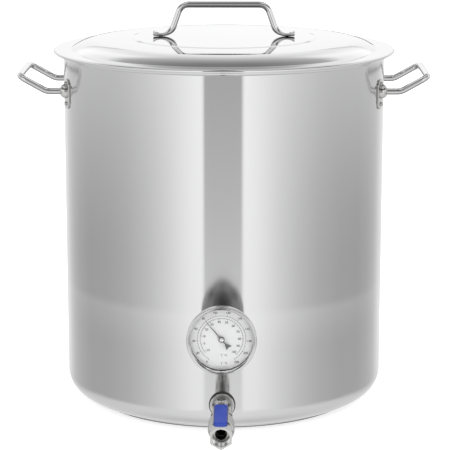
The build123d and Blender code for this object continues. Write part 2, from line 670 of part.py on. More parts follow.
with BuildPart() as valve_body:
    with BuildSketch(front_face(INLET_D, VALVE_Z)):
        RegularPolygon(hex_radius(25.0), 6, rotation=30)
    extrude(amount=INLET_HEX_FAR - INLET_D)
    with BuildSketch(VALVE_SECTION):
        with BuildLine():
            Polyline(
                (INLET_HEX_FAR - 2, 0), (INLET_HEX_FAR - 2, 12.2), (266.5, 12.2), (271.0, 14.0), (274.5, BARREL_R),
                (BODY_FAR - 2.4, BARREL_R), (BODY_FAR, BARREL_R - 1.0), (BODY_FAR, 0), close=True,
            )
        make_face()
    revolve(axis=Axis((0, 0, VALVE_Z), (0, -1, 0)))
    with BuildSketch(stem_level(VALVE_Z)):
        Circle(TOWER_R)
    extrude(amount=TOWER_TOP - VALVE_Z)
    with BuildSketch(stem_level(BARREL_TOP - 2)):
        with BuildLine():
            start, end = radians(LUG_START), radians(LUG_END)
            Polyline(
                (LUG_R * cos(end), LUG_R * sin(end)), (0, 0), (LUG_R * cos(start), LUG_R * sin(start)),
            )
            CenterArc((0, 0), LUG_R, LUG_START, LUG_END - LUG_START)
        make_face()
    extrude(amount=61.5 - BARREL_TOP + 2)
    with BuildSketch(VALVE_SECTION):
        with BuildLine():
            Polyline(
                (INLET_D - 1, 0), (INLET_D - 1, THREAD_BORE_R), (INLET_D + 14.5, THREAD_BORE_R),
                (INLET_D + 14.5, PORT_R), (CAVITY_NEAR, PORT_R), (CAVITY_NEAR, CAVITY_R), (CAP_NEAR - 1, CAVITY_R),
                (CAP_NEAR - 1, CAP_THREAD_R), (BODY_FAR + 1, CAP_THREAD_R), (BODY_FAR + 1, 0), close=True,
            )
        make_face()
    revolve(axis=Axis((0, 0, VALVE_Z), (0, -1, 0)), mode=Mode.SUBTRACT)
    with BuildSketch(stem_level(VALVE_Z)):
        Circle(STEM_R + GAP)
    extrude(amount=40, mode=Mode.SUBTRACT)
    with BuildSketch(stem_level(TOWER_TOP - 3.6)):
        Circle(PACKING_R + FIT)
    extrude(amount=4, mode=Mode.SUBTRACT)
    with BuildSketch(stem_level(TOWER_TOP)):
        Circle(8.9)
    extrude(amount=10, mode=Mode.SUBTRACT)
save(valve_body, "valve_body")

with BuildPart() as valve_end_cap:
    with BuildSketch(front_face(OUTLET_HEX_NEAR, VALVE_Z)):
        RegularPolygon(hex_radius(OUTLET_HEX), 6, rotation=30)
    extrude(amount=OUTLET_D - OUTLET_HEX_NEAR)
    with BuildSketch(VALVE_SECTION):
        with BuildLine():
            corner = hex_radius(OUTLET_HEX)
            Polyline(
                (CAP_NEAR, 0), (CAP_NEAR, 20), (OUTLET_D - 1.2, 20), (OUTLET_D - 1.2, corner),
                (OUTLET_D, corner - 1.5), (OUTLET_D, 0), close=True,
            )
        make_face()
    revolve(axis=Axis((0, 0, VALVE_Z), (0, -1, 0)), mode=Mode.INTERSECT)
    with BuildSketch(VALVE_SECTION):
        with BuildLine():
            Polyline(
                (CAP_NEAR, 0), (CAP_NEAR, CAP_THREAD_R - FIT), (BODY_FAR + 0.1, CAP_THREAD_R - FIT),
                (BODY_FAR + 0.1, 14.3), (CAP_COLLAR_FAR, 14.3), (OUTLET_HEX_NEAR + 0.5, 12.2),
                (OUTLET_HEX_NEAR + 0.5, 0), close=True,
            )
        make_face()
    revolve(axis=Axis((0, 0, VALVE_Z), (0, -1, 0)))
    with BuildSketch(VALVE_SECTION):
        with BuildLine():
            Polyline(
                (CAP_NEAR - 1, 0), (CAP_NEAR - 1, PORT_R), (OUTLET_D - SOCKET_DEPTH, PORT_R),
                (OUTLET_D - SOCKET_DEPTH, THREAD_BORE_R), (OUTLET_D + 1, THREAD_BORE_R), (OUTLET_D + 1, 0), close=True,
            )
        make_face()
    revolve(axis=Axis((0, 0, VALVE_Z), (0, -1, 0)), mode=Mode.SUBTRACT)
save(valve_end_cap, "valve_end_cap")

save(washer(VALVE_Z, CAP_NEAR - 1 + FIT, CAP_NEAR - FIT, CAVITY_R + 0.1, CAP_THREAD_R - FIT), "valve_body_gasket")

for seat_name, near in (("valve_inlet_seat", CAVITY_NEAR), ("valve_outlet_seat", CAP_NEAR - SEAT_T)):
    with BuildPart() as seat:
        with BuildSketch(front_face(near, VALVE_Z)):
            Circle(CAVITY_R - FIT)
            Circle(PORT_R + 0.3, mode=Mode.SUBTRACT)
        extrude(amount=SEAT_T)
        with Locations((0, -STEM_D, VALVE_Z)):
            Sphere(BALL_R + GAP, mode=Mode.SUBTRACT)
    save(seat, seat_name)

SLOT_FLOOR = VALVE_Z + 7.6
with BuildPart() as valve_ball:
    with Locations((0, -STEM_D, VALVE_Z)):
        Sphere(BALL_R)
    with BuildSketch(front_face(STEM_D - 20, VALVE_Z)):
        Circle(6.3)
    extrude(amount=40, mode=Mode.SUBTRACT)
    with BuildSketch(stem_level(SLOT_FLOOR)):
        Rectangle(3.2, 30)
    extrude(amount=10, mode=Mode.SUBTRACT)
save(valve_ball, "valve_ball")

LEVER_BOTTOM = 63.0
LEVER_T = 2.5
NUT_BOTTOM = LEVER_BOTTOM + LEVER_T
NUT_TOP = 72.0
STEM_TOP = 70.2
STEM_FLAT = 3.0          # half width across the flats that turn with the lever

with BuildPart() as valve_stem:
    with BuildSketch(stem_level(SLOT_FLOOR + 0.2)):
        Rectangle(3.1, 7.2)
    extrude(amount=4.0)
    with BuildSketch(stem_level(SLOT_FLOOR + 4.2)):
        Circle(STEM_R)
    extrude(amount=STEM_TOP - SLOT_FLOOR - 4.2)
    for side in (-1, 1):
        with BuildSketch(stem_level(LEVER_BOTTOM - 0.8)):
            with Locations((side * (STEM_FLAT + 3), 0)):
                Rectangle(6, 12)
        extrude(amount=NUT_BOTTOM - LEVER_BOTTOM + 0.8, mode=Mode.SUBTRACT)
    chamfer(valve_stem.edges().group_by(Axis.Z)[-1], 0.5)
save(valve_stem, "valve_stem")

with BuildPart() as valve_stem_packing:
    with BuildSketch(stem_level(TOWER_TOP - 3.6)):
        Circle(PACKING_R)
        Circle(STEM_R + 0.08, mode=Mode.SUBTRACT)
    extrude(amount=3.5)
save(valve_stem_packing, "valve_stem_packing")

with BuildPart() as valve_gland_nut:
    with BuildSketch(stem_level(TOWER_TOP)):
        RegularPolygon(hex_radius(14.0), 6)
        Circle(STEM_R + GAP, mode=Mode.SUBTRACT)
    extrude(amount=3.4)
    chamfer(valve_gland_nut.edges().group_by(Axis.Z)[-1].filter_by(GeomType.LINE), 0.4)
save(valve_gland_nut, "valve_gland_nut")


# ---------------------------------------------------------------- valve: lever
LEVER_W = 11.0
LEVER_RISE = 5.0
RISE_START = 12.0        # from the stem
RISE_END = 17.5
LEVER_REACH = SLEEVE_END - STEM_D - 2.5
TAB_X = 9.0              # stop tabs hang beside the gland
TAB_W = 5.0
TAB_T = 1.9
TAB_DROP = 4.2

with BuildPart() as valve_lever:
    with BuildSketch(Plane(origin=(0, -STEM_D, LEVER_BOTTOM), x_dir=(0, -1, 0), z_dir=(-1, 0, 0)).offset(-15)):
        with BuildLine():
            Polyline(
                (-12, 0), (RISE_START, 0), (RISE_END, LEVER_RISE), (LEVER_REACH, LEVER_RISE),
                (LEVER_REACH, LEVER_RISE + LEVER_T), (RISE_END - 1.0, LEVER_RISE + LEVER_T),
                (RISE_START - 1.0, LEVER_T), (-12, LEVER_T), close=True,
            )
        make_face()
    extrude(amount=30)
    with BuildSketch(stem_level(LEVER_BOTTOM - 1)):
        Circle(TAB_X + TAB_T)
        with Locations((0, -(LEVER_REACH - LEVER_W / 2) / 2)):
            Rectangle(LEVER_W, LEVER_REACH - LEVER_W / 2)
        with Locations((0, -LEVER_REACH + LEVER_W / 2)):
            Circle(LEVER_W / 2)
    extrude(amount=20, mode=Mode.INTERSECT)
    for side in (-1, 1):
        with BuildSketch(stem_level(LEVER_BOTTOM - TAB_DROP)):
            with Locations((side * (TAB_X + TAB_T / 2), 0)):
                Rectangle(TAB_T, TAB_W)
        extrude(amount=TAB_DROP + LEVER_T / 2)
    with BuildSketch(stem_level(LEVER_BOTTOM - 1)):
        Circle(STEM_R + FIT)
        Rectangle(2 * (STEM_FLAT + FIT), 20, mode=Mode.INTERSECT)
    extrude(amount=LEVER_T + 2, mode=Mode.SUBTRACT)
save(valve_lever, "valve_lever")

with BuildPart() as lever_washer:
    with BuildSketch(stem_level(LEVER_BOTTOM - 1.2)):
        Circle(7.2)
        Circle(STEM_R + FIT, mode=Mode.SUBTRACT)
    extrude(amount=1.2)
save(lever_washer, "lever_washer")

with BuildPart() as lever_nut:
    with BuildSketch(stem_level(NUT_BOTTOM)):
        RegularPolygon(hex_radius(13.0), 6)
    extrude(amount=4.6)
    chamfer(lever_nut.edges().group_by(Axis.Z)[-1], 0.5)
    with BuildSketch(stem_level(NUT_BOTTOM + 4.6)):
        Circle(5.9)
    extrude(amount=NUT_TOP - NUT_BOTTOM - 4.6)
    fillet(lever_nut.edges().group_by(Axis.Z)[-1], 0.8)
    with BuildSketch(stem_level(NUT_BOTTOM)):
        Circle(STEM_R + FIT)
    extrude(amount=10, mode=Mode.SUBTRACT)
save(lever_nut, "lever_nut")

SLEEVE_W = 16.0
SLEEVE_START = 302.5
SLEEVE_BOTTOM = LEVER_BOTTOM + LEVER_RISE - 1.5
SLEEVE_T = 5.5
SLEEVE_CENTRE = (SLEEVE_START + SLEEVE_END) / 2
with BuildPart() as lever_sleeve:
    with BuildSketch(Plane(origin=(0, -SLEEVE_CENTRE, SLEEVE_BOTTOM))):
        RectangleRounded(SLEEVE_W, SLEEVE_END - SLEEVE_START, 4.0)
    extrude(amount=SLEEVE_T)
    fillet(lever_sleeve.edges().group_by(Axis.Z)[0] + lever_sleeve.edges().group_by(Axis.Z)[-1], 1.6)
    with BuildSketch(Plane(origin=(0, -SLEEVE_START + 1, LEVER_BOTTOM + LEVER_RISE - FIT))):
        with Locations((0, -(STEM_D + LEVER_REACH - SLEEVE_START + 1 - LEVER_W / 2 + FIT) / 2)):
            Rectangle(LEVER_W + 2 * FIT, STEM_D + LEVER_REACH - SLEEVE_START + 1 - LEVER_W / 2 + FIT)
        with Locations((0, -(STEM_D + LEVER_REACH - SLEEVE_START + 1 - LEVER_W / 2))):
            Circle(LEVER_W / 2 + FIT)
    extrude(amount=LEVER_T + 2 * FIT, mode=Mode.SUBTRACT)
save(lever_sleeve, "lever_sleeve")
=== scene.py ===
import json
import math

import bmesh
import bpy
from mathutils import Matrix, Vector


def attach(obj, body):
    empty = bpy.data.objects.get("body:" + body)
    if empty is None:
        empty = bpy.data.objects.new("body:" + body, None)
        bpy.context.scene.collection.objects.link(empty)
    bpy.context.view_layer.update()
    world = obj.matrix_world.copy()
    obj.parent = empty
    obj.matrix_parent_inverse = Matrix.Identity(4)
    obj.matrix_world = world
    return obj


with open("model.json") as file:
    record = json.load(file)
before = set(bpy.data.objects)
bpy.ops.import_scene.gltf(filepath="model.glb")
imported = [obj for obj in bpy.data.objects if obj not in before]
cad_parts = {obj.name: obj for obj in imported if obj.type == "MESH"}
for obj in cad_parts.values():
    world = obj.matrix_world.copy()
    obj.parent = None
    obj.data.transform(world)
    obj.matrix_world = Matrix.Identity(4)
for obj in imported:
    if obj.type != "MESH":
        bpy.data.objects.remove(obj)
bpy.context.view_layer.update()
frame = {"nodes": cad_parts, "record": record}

NODES = frame["nodes"]


# ---------------------------------------------------------------- node helpers
class Nodes:
    """A node tree, with short calls for the nodes used here."""

    def __init__(self, tree):
        self.tree = tree

    def node(self, kind, **settings):
        made = self.tree.nodes.new(kind)
        for key, value in settings.items():
            setattr(made, key, value)
        return made

    def link(self, out, into):
        self.tree.links.new(out, into)

    def math(self, operation, a, b=None, clamp=False):
        made = self.node("ShaderNodeMath", operation=operation, use_clamp=clamp)
        for index, value in enumerate((a, b)):
            if value is None:
                continue
            if isinstance(value, (int, float)):
                made.inputs[index].default_value = value
            else:
                self.link(value, made.inputs[index])
        return made.outputs[0]

    def coords(self, scale=(1, 1, 1)):
        """Object coordinates in metres, scaled."""
        source = self.node("ShaderNodeTexCoord")
        mapping = self.node("ShaderNodeMapping")
        mapping.inputs["Scale"].default_value = scale
        self.link(source.outputs["Object"], mapping.inputs["Vector"])
        return mapping.outputs[0]

    def noise(self, vector, scale=1.0, detail=2.0, rough=0.5):
        made = self.node("ShaderNodeTexNoise")
        made.inputs["Scale"].default_value = scale
        made.inputs["Detail"].default_value = detail
        made.inputs["Roughness"].default_value = rough
        self.link(vector, made.inputs["Vector"])
        return made.outputs["Fac"]

    def spread(self, value, low, high, from_low=0.25, from_high=0.75):
        """The value's middle range stretched to run from low to high."""
        made = self.node("ShaderNodeMapRange")
        self.link(value, made.inputs["Value"])
        limits = {"From Min": from_low, "From Max": from_high, "To Min": low, "To Max": high}
        for key, number in limits.items():
            made.inputs[key].default_value = number
        return made.outputs["Result"]

    def tint(self, value, stops):
        """A colour ramp; each stop is (position, colour)."""
        ramp = self.node("ShaderNodeValToRGB")
        ramp.color_ramp.elements[0].position = stops[0][0]
        ramp.color_ramp.elements[0].color = (*stops[0][1], 1)
        ramp.color_ramp.elements[1].position = stops[-1][0]
        ramp.color_ramp.elements[1].color = (*stops[-1][1], 1)
        for position, colour in stops[1:-1]:
            ramp.color_ramp.elements.new(position).color = (*colour, 1)
        self.link(value, ramp.inputs[0])
        return ramp.outputs[0]

    def greys(self, value, stops):
        """A ramp of greys; each stop is (position, level)."""
        return self.tint(value, [(position, (level,) * 3) for position, level in stops])

    def mix(self, share, low, high, blend="MIX"):
        made = self.node("ShaderNodeMix", data_type="RGBA", blend_type=blend)
        if isinstance(share, float):
            made.inputs["Factor"].default_value = share
        else:
            self.link(share, made.inputs["Factor"])
        self.link(low, made.inputs["A"])
        self.link(high, made.inputs["B"])
        return made.outputs["Result"]

    def times(self, colour, other):
        return self.mix(1.0, colour, other, "MULTIPLY")

    def axis(self, vector, index):
        made = self.node("ShaderNodeSeparateXYZ")
        self.link(vector, made.inputs[0])
        return made.outputs[index]


class Look(Nodes):
    """A material, whose shader's own sockets hold its constants."""

    def __init__(self, name, **sockets):
        self.material = bpy.data.materials.new(name)
        self.material.use_nodes = True
        super().__init__(self.material.node_tree)
        self.shader = self.tree.nodes["Principled BSDF"]
        for key, value in sockets.items():
            self.shader.inputs[key.replace("_", " ")].default_value = value

    def bump(self, height, distance, strength=1.0):
        made = self.node("ShaderNodeBump")
        made.inputs["Strength"].default_value = strength
        made.inputs["Distance"].default_value = distance
        self.link(height, made.inputs["Height"])
        self.link(made.outputs[0], self.shader.inputs["Normal"])

    def to(self, out, socket):
        self.link(out, self.shader.inputs[socket])


def dull_inside(look, wall_radius):
    """Takes the polish off faces nearer the axis than wall_radius that face inwards or up."""
    flat = look.coords((1, 1, 0))
    probe = look.node("ShaderNodeVectorMath", operation="ADD")
    look.link(flat, probe.inputs[0])
    probe.inputs[1].default_value = (0, 0, -0.05)
    facing = look.node("ShaderNodeVectorMath", operation="DOT_PRODUCT")
    look.link(probe.outputs[0], facing.inputs[0])
    look.link(look.node("ShaderNodeNewGeometry").outputs["Normal"], facing.inputs[1])
    radius = look.node("ShaderNodeVectorMath", operation="LENGTH")
    look.link(flat, radius.inputs[0])
    inward = look.math("LESS_THAN", facing.outputs["Value"], 0.0)
    within = look.math("LESS_THAN", radius.outputs["Value"], wall_radius)
    dull = look.math("MULTIPLY", look.math("MULTIPLY", inward, within), 0.7)
    look.to(look.math("SUBTRACT", 1.0, dull), "Metallic")


def either_side(tint, limit):
    """A darker and a lighter tint, as far apart as the limit and white allow."""
    reach = min(limit, 1 / max(tint) - 1)
    return tuple(c * (1 - reach) for c in tint), tuple(c * (1 + reach) for c in tint)


def steel(name, grain, tint, rough, contrast=0.04, anisotropic=0.0, turned_round=None, smudge=0.03, edge_highlight=0.0,
          corner_shade=0.0, sheen_band=(), underside_shade=0.0, inside=0.0):
    """Steel with brush grain: grain is the noise scale along X, Y and Z, per metre.

    edge_highlight paints highlight on sharp edges and shade in creases, corner_shade paints shade into corners,
    sheen_band paints a band of lighter tone by height in metres, underside_shade paints shade on what faces
    down, and inside is the radius within which the pot's faces are dull.
    """
    look = Look(name, Metallic=1.0, Anisotropic=anisotropic)
    lines = look.noise(look.coords(grain), detail=3.0, rough=0.65)
    patches = look.noise(look.coords((9, 9, 9)), detail=2.0)
    fine = look.spread(lines, -contrast, contrast)
    wide = look.spread(patches, -smudge, smudge)
    level = look.math("ADD", fine, wide)
    # painted highlight on sharp edges and painted shade in creases, from pointiness
    if edge_highlight:
        edges = look.node("ShaderNodeNewGeometry").outputs["Pointiness"]
        level = look.math("ADD", level, look.spread(edges, -edge_highlight, edge_highlight, 0.44, 0.56))
    # painted sheen: a band of lighter tone by height
    if sheen_band:
        sheen_lift = look.greys(look.axis(look.coords(), 2), sheen_band)
        level = look.math("ADD", level, sheen_lift)
    shade = look.math("ADD", level, 0.5)
    low, high = either_side(tint, 0.4)
    colour = look.tint(shade, [(0.0, low), (1.0, high)])
    # painted shade in corners and recesses, from ambient occlusion
    if corner_shade:
        corners = look.node("ShaderNodeAmbientOcclusion", samples=6)
        corners.inputs["Distance"].default_value = 0.006
        colour = look.times(colour, look.greys(corners.outputs["AO"], [(0.25, 1 - corner_shade), (0.85, 1.0)]))
    # painted shade on faces that point down
    if underside_shade:
        facing = look.axis(look.node("ShaderNodeNewGeometry").outputs["Normal"], 2)
        down = look.math("MULTIPLY", facing, -1.0)
        colour = look.times(colour, look.greys(down, [(0.12, 1.0), (0.5, 1 - underside_shade)]))
    look.to(colour, "Base Color")
    look.to(look.math("ADD", look.math("MULTIPLY", level, 0.8), rough, clamp=True), "Roughness")
    if inside:
        dull_inside(look, inside)
    if turned_round:
        tangent = look.node("ShaderNodeTangent", direction_type="RADIAL", axis=turned_round)
        look.link(tangent.outputs[0], look.shader.inputs["Tangent"])
        look.shader.inputs["Anisotropic Rotation"].default_value = 0.25
    return look.material


def moulded(name, tint, rough, grain=1400, contrast=0.10, bump=0.00002, side_shade=None, **sockets):
    """Plastic, rubber or print: a fine moulded grain over slow patches of tone.

    side_shade paints shade on the piece's sides, from this far off its middle plane, in centimetres along X.
    """
    look = Look(name, **sockets)
    fine = look.noise(look.coords((grain,) * 3), detail=2.0, rough=0.6)
    patches = look.noise(look.coords((70, 70, 70)), detail=2.0)
    level = look.math("ADD", look.spread(fine, -contrast, contrast), look.spread(patches, -contrast, contrast))
    low, high = either_side(tint, 0.45)
    colour = look.tint(look.math("ADD", level, 0.5), [(0.0, low), (1.0, high)])
    # painted shade on the sides, away from the middle plane
    if side_shade:
        across = look.math("MULTIPLY", look.math("ABSOLUTE", look.axis(look.coords(), 0)), 100.0)
        colour = look.times(colour, look.greys(across, [(side_shade - 0.22, 1.0), (side_shade, 0.45)]))
    look.to(colour, "Base Color")
    look.to(look.math("ADD", look.math("MULTIPLY", level, 0.5), rough, clamp=True), "Roughness")
    look.bump(fine, bump)
    return look.material


def glass(name):
    look = Look(name, Transmission_Weight=1.0, IOR=1.46)
    smears = look.noise(look.coords((40, 40, 160)), detail=3.0)
    look.to(look.tint(smears, [(0.0, (0.985, 0.99, 0.99)), (1.0, (1.0, 1.0, 1.0))]), "Base Color")
    look.to(look.spread(smears, 0.0, 0.02), "Roughness")
    return look.material


# painted sheen, a band of lighter tone low on the wall: (height in metres, lift)
WALL_SHEEN_BAND = ((0.0, 0.0), (0.100, 0.0), (0.130, 0.040), (0.146, 0.058), (0.155, 0.0), (1.0, 0.0))
FINISH_OF_SLOT = {
    "shell_steel": steel("brushed_wall", (10, 10, 6400), (0.72, 0.72, 0.722), 0.12, 0.010, anisotropic=1.0,
                         turned_round="Z", smudge=0.005, inside=0.1995, sheen_band=WALL_SHEEN_BAND),
    "lid_steel": steel("polished_lid", (60, 60, 60), (0.77, 0.77, 0.775), 0.050, 0.006, smudge=0.008),
    "polished_steel": steel("polished_steel", (500, 500, 500), (0.76, 0.76, 0.76), 0.055, 0.03, edge_highlight=0.04,
                            underside_shade=0.55),
    "satin_steel": steel("satin_steel", (900, 900, 900), (0.62, 0.615, 0.605), 0.13, 0.05, edge_highlight=0.05,
                          corner_shade=0.55),
    "base_aluminium": steel("turned_aluminium", (700, 700, 700), (0.74, 0.74, 0.74), 0.34, 0.05),
    "brass_metal": steel("brass", (800, 800, 800), (0.78, 0.57, 0.27), 0.22, 0.05, edge_highlight=0.06),
    "clear_glass": glass("lens_glass"),
    "dial_face": moulded("dial_white", (0.77, 0.77, 0.765), 0.42, contrast=0.04),
    "pointer_black": moulded("print_black", (0.02, 0.02, 0.021), 0.45, contrast=0.06),
    "black_rubber": moulded("black_rubber", (0.018, 0.018, 0.018), 0.55),
    "clear_silicone": moulded("clear_silicone", (0.80, 0.80, 0.78), 0.35, contrast=0.05),
    "white_ptfe": moulded("white_ptfe", (0.86, 0.86, 0.85), 0.30, contrast=0.03),
    "blue_vinyl": moulded("blue_vinyl", (0.016, 0.040, 0.27), 0.42, grain=700, contrast=0.07,
                          side_shade=0.78, Specular_IOR_Level=0.3),
}


def placed(name, data):
    """A new object in the scene."""
    made = bpy.data.objects.new(name, data)
    bpy.context.scene.collection.objects.link(made)
    return made


def give(obj, material):
    if len(obj.material_slots) == 0:
        obj.data.materials.append(material)
    for place in obj.material_slots:
        place.material = material


for part in frame["record"]["subparts"]:
    give(NODES[part["node"]], FINISH_OF_SLOT[part["material_slot"]])

MACHINED = steel("machined_cap", (700, 700, 700), (0.61, 0.607, 0.60), 0.10, 0.05, edge_highlight=0.25)
# painted shade: a dark tint for the bulkhead and nipple, for the shade they sit in behind the valve
SHADED = steel("shaded_threads", (900, 900, 900), (0.22, 0.218, 0.215), 0.20, 0.06, edge_highlight=0.10)
FINISH_OF_NODE = {
    # the case's dark tint is partly a darker steel and partly painted shade for its back, seen in the wall's
    # reflection
    "thermo_case": steel("drawn_case", (400, 400, 400), (0.34, 0.34, 0.34), 0.30, 0.05),
    "thermo_bezel": steel("bezel_steel", (600, 600, 600), (0.63, 0.63, 0.63), 0.07, 0.04, edge_highlight=0.20),
    "valve_body": steel("cast_body", (900, 900, 900), (0.44, 0.437, 0.43), 0.12, 0.07, edge_highlight=0.45, corner_shade=0.5),
    "valve_end_cap": MACHINED,
    "valve_cup_washer": MACHINED,
    "valve_bulkhead": SHADED,
    "valve_nipple": SHADED,
    "handle_rivets": steel("rivet_heads", (900, 900, 900), (0.42, 0.42, 0.42), 0.08, 0.05, edge_highlight=0.3),
}
for node, material in FINISH_OF_NODE.items():
    give(NODES[node], material)

# the dial is lit through the lens, and the sleeve is left out of the steel's reflections
NODES["thermo_lens"].visible_shadow = False
NODES["lever_sleeve"].visible_glossy = False


# ---------------------------------------------------------------- dial print
DIAL_Z = 0.1347
DIAL_Y = -0.2526
INK = 0.00006            # the print stands this far in front of the dial
SCALE_SPAN = 1.345       # degrees of turn per degree on the outer scale
SCALE_MIDDLE = 110       # the outer scale's reading at the top
INNER_MIDDLE = (SCALE_MIDDLE - 32) / 1.8


def on_dial(radius, degrees):
    """A point on the dial, at an angle clockwise from the top as seen from the front."""
    turned = math.radians(degrees)
    return Vector((radius * math.sin(turned), DIAL_Y - INK, DIAL_Z + radius * math.cos(turned)))


def add_face(mesh, corners):
    mesh.faces.new([mesh.verts.new(corner) for corner in corners])


def add_arc(mesh, radius, width, start, end):
    steps = max(2, int(abs(end - start) / 3))
    rows = []
    for step in range(steps + 1):
        angle = start + (end - start) * step / steps
        rows.append([mesh.verts.new(on_dial(radius + side * width / 2, angle)) for side in (-1, 1)])
    for (a, b), (c, d) in zip(rows, rows[1:]):
        mesh.faces.new((a, b, d, c))


def add_tick(mesh, angle, near, far, width):
    across = Vector((math.cos(math.radians(angle)), 0, -math.sin(math.radians(angle)))) * width / 2
    low, high = on_dial(near, angle), on_dial(far, angle)
    add_face(mesh, (low - across, low + across, high + across, high - across))


def add_text(mesh, text, size, middle):
    """Upright letters centred on a point of the dial."""
    curve = bpy.data.curves.new("letters", "FONT")
    curve.body, curve.size = text, size
    curve.align_x, curve.align_y = "CENTER", "CENTER"
    curve.resolution_u = 4
    curve.offset = size * 0.025
    holder = bpy.data.objects.new("letters", curve)
    flat = bpy.data.meshes.new_from_object(holder)
    flat.transform(Matrix.Translation(middle) @ Matrix.Rotation(math.pi / 2, 4, "X"))
    mesh.from_mesh(flat)
    bpy.data.objects.remove(holder)
    bpy.data.curves.remove(curve)
    bpy.data.meshes.remove(flat)


def finished(name, mesh, body, slot_name, smooth=False, flat=False, material=None):
    """Turns a bmesh into a piece that rides on a body; flat is print, which faces the front."""
    data = bpy.data.meshes.new(name)
    mesh.normal_update()
    if flat:
        bmesh.ops.reverse_faces(mesh, faces=[face for face in mesh.faces if face.normal.y > 0])
    else:
        bmesh.ops.recalc_face_normals(mesh, faces=mesh.faces)
    for face in mesh.faces:
        face.smooth = smooth
    mesh.to_mesh(data)
    mesh.free()
    piece = placed(name, data)
    give(piece, material or FINISH_OF_SLOT[slot_name])
    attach(piece, body)


def dial_scale(name, middle, span, readings, step, minor, arc_r, direction, number_r, size):
    """One arc of the dial: its line, ticks and numbers. direction is +1 for ticks that point outwards."""
    mesh = bmesh.new()
    first, last = readings
    start, end = (first - middle) * span, (last - middle) * span
    add_arc(mesh, arc_r, 0.00034, start, end)
    for reading in range(first, last + 1, minor):
        long = (reading - first) % step == 0
        reach = 0.0019 if long else 0.0010
        width = 0.00042 if long else 0.00026
        add_tick(mesh, (reading - middle) * span, arc_r, arc_r + direction * reach, width)
        if long:
            spot = on_dial(number_r, (reading - middle) * span)
            add_text(mesh, str(reading), size, spot)
    finished(name, mesh, "pot", "pointer_black", flat=True)


dial_scale("outer_scale", SCALE_MIDDLE, SCALE_SPAN, (0, 220), 20, 5, 0.0278, 1, 0.0322, 0.0036)
dial_scale("inner_scale", INNER_MIDDLE, SCALE_SPAN * 1.8, (-10, 100), 10, 2, 0.0249, -1, 0.0207, 0.0037)

LETTERS_X = 0.0048
BAR_HALF_W, BAR_HALF_H = 0.0014, 0.00015
unit_marks = bmesh.new()
for letters, drop in (("\u00b0C", 0.0195), ("\u00b0F", 0.0292)):
    add_text(unit_marks, letters, 0.0032, Vector((LETTERS_X, DIAL_Y - INK, DIAL_Z - drop)))
for drop in (0.0195, 0.0292):
    add_tick(unit_marks, 180, drop - 0.0018, drop + 0.0018, 0.0003)
    middle = on_dial(drop - 0.0010, 180)
    add_face(unit_marks, [middle + Vector((x * BAR_HALF_W, 0, z * BAR_HALF_H)) for x, z in (
        (-1, -1), (1, -1), (1, 1), (-1, 1))])
finished("unit_marks", unit_marks, "pot", "pointer_black", flat=True)


# ---------------------------------------------------------------- pointer cap
def pointer_cap():
    """A small domed cap on the pointer's hub, with a groove round it."""
    profile = ((0.0, 0.50), (0.9, 0.44), (1.5, 0.30), (1.9, 0.16), (2.1, 0.20), (2.4, 0.10), (2.5, -0.1))
    mesh = bmesh.new()
    front = -0.25656     # the hub's front face
    sides = 40
    rings = []
    for radius, height in profile[1:]:
        rings.append([
            mesh.verts.new((
                radius / 1000 * math.cos(2 * math.pi * n / sides), front - height / 1000,
                DIAL_Z + radius / 1000 * math.sin(2 * math.pi * n / sides),
            ))
            for n in range(sides)
        ])
    top = mesh.verts.new((0, front - profile[0][1] / 1000, DIAL_Z))
    for n in range(sides):
        mesh.faces.new((top, rings[0][n], rings[0][(n + 1) % sides]))
        for inner, outer in zip(rings, rings[1:]):
            mesh.faces.new((inner[n], outer[n], outer[(n + 1) % sides], inner[(n + 1) % sides]))
    cap_steel = steel("cap_steel", (900, 900, 900), (0.42, 0.42, 0.42), 0.12, 0.06)
    finished("pointer_cap", mesh, "pointer", "satin_steel", smooth=True, material=cap_steel)


pointer_cap()


# ---------------------------------------------------------------- pipe thread in the outlet
VALVE_Z = 0.039


def outlet_thread():
    """The ridge of the tapped outlet, wound inside its wall and faded in at both ends."""
    pitch, turns, steps = 1.814, 7.3, 48
    wall, depth, start = 10.44, 0.85, -324.8
    section = ((wall, -0.82), (wall - depth, -0.16), (wall - depth, 0.16), (wall, 0.82))
    mesh = bmesh.new()
    count = int(turns * steps)
    rows = []
    for step in range(count + 1):
        angle = 2 * math.pi * step / steps
        fade = min(1.0, step / 30, (count - step) / 30)
        row = []
        for radius, along in section:
            r = wall - (wall - radius) * fade
            y = start + pitch * angle / (2 * math.pi) + 0.9 + along * (0.3 + 0.7 * fade)
            place = (r * math.cos(angle) / 1000, y / 1000, VALVE_Z + r * math.sin(angle) / 1000)
            row.append(mesh.verts.new(place))
        rows.append(row)
    for near, far in zip(rows, rows[1:]):
        for n in range(4):
            mesh.faces.new((near[n], near[(n + 1) % 4], far[(n + 1) % 4], far[n]))
    mesh.faces.new(rows[0])
    mesh.faces.new(list(reversed(rows[-1])))
    # painted light: the thread's near-white tint stands in for the front light it catches
    thread_steel = steel("thread_steel", (900, 900, 900), (0.92, 0.92, 0.915), 0.20, 0.03)
    finished("outlet_thread", mesh, "pot", "satin_steel", material=thread_steel)


outlet_thread()


# ---------------------------------------------------------------- studio
def floor():
    mesh = bpy.data.meshes.new("floor")
    rim = 12.0
    mesh.from_pydata([(-rim, -rim, 0), (rim, -rim, 0), (rim, rim, 0), (-rim, rim, 0)], [], [(0, 1, 2, 3)])
    plane = placed("floor", mesh)
    look = Look("studio_floor", Roughness=0.9, Emission_Color=(1, 1, 1, 1), Emission_Strength=0.55)
    patches = look.noise(look.coords((0.8, 0.8, 0.8)))
    look.to(look.tint(patches, [(0.0, (0.93, 0.93, 0.93)), (1.0, (0.96, 0.96, 0.96))]), "Base Color")
    plane.data.materials.append(look.material)
    plane.visible_glossy = False


floor()


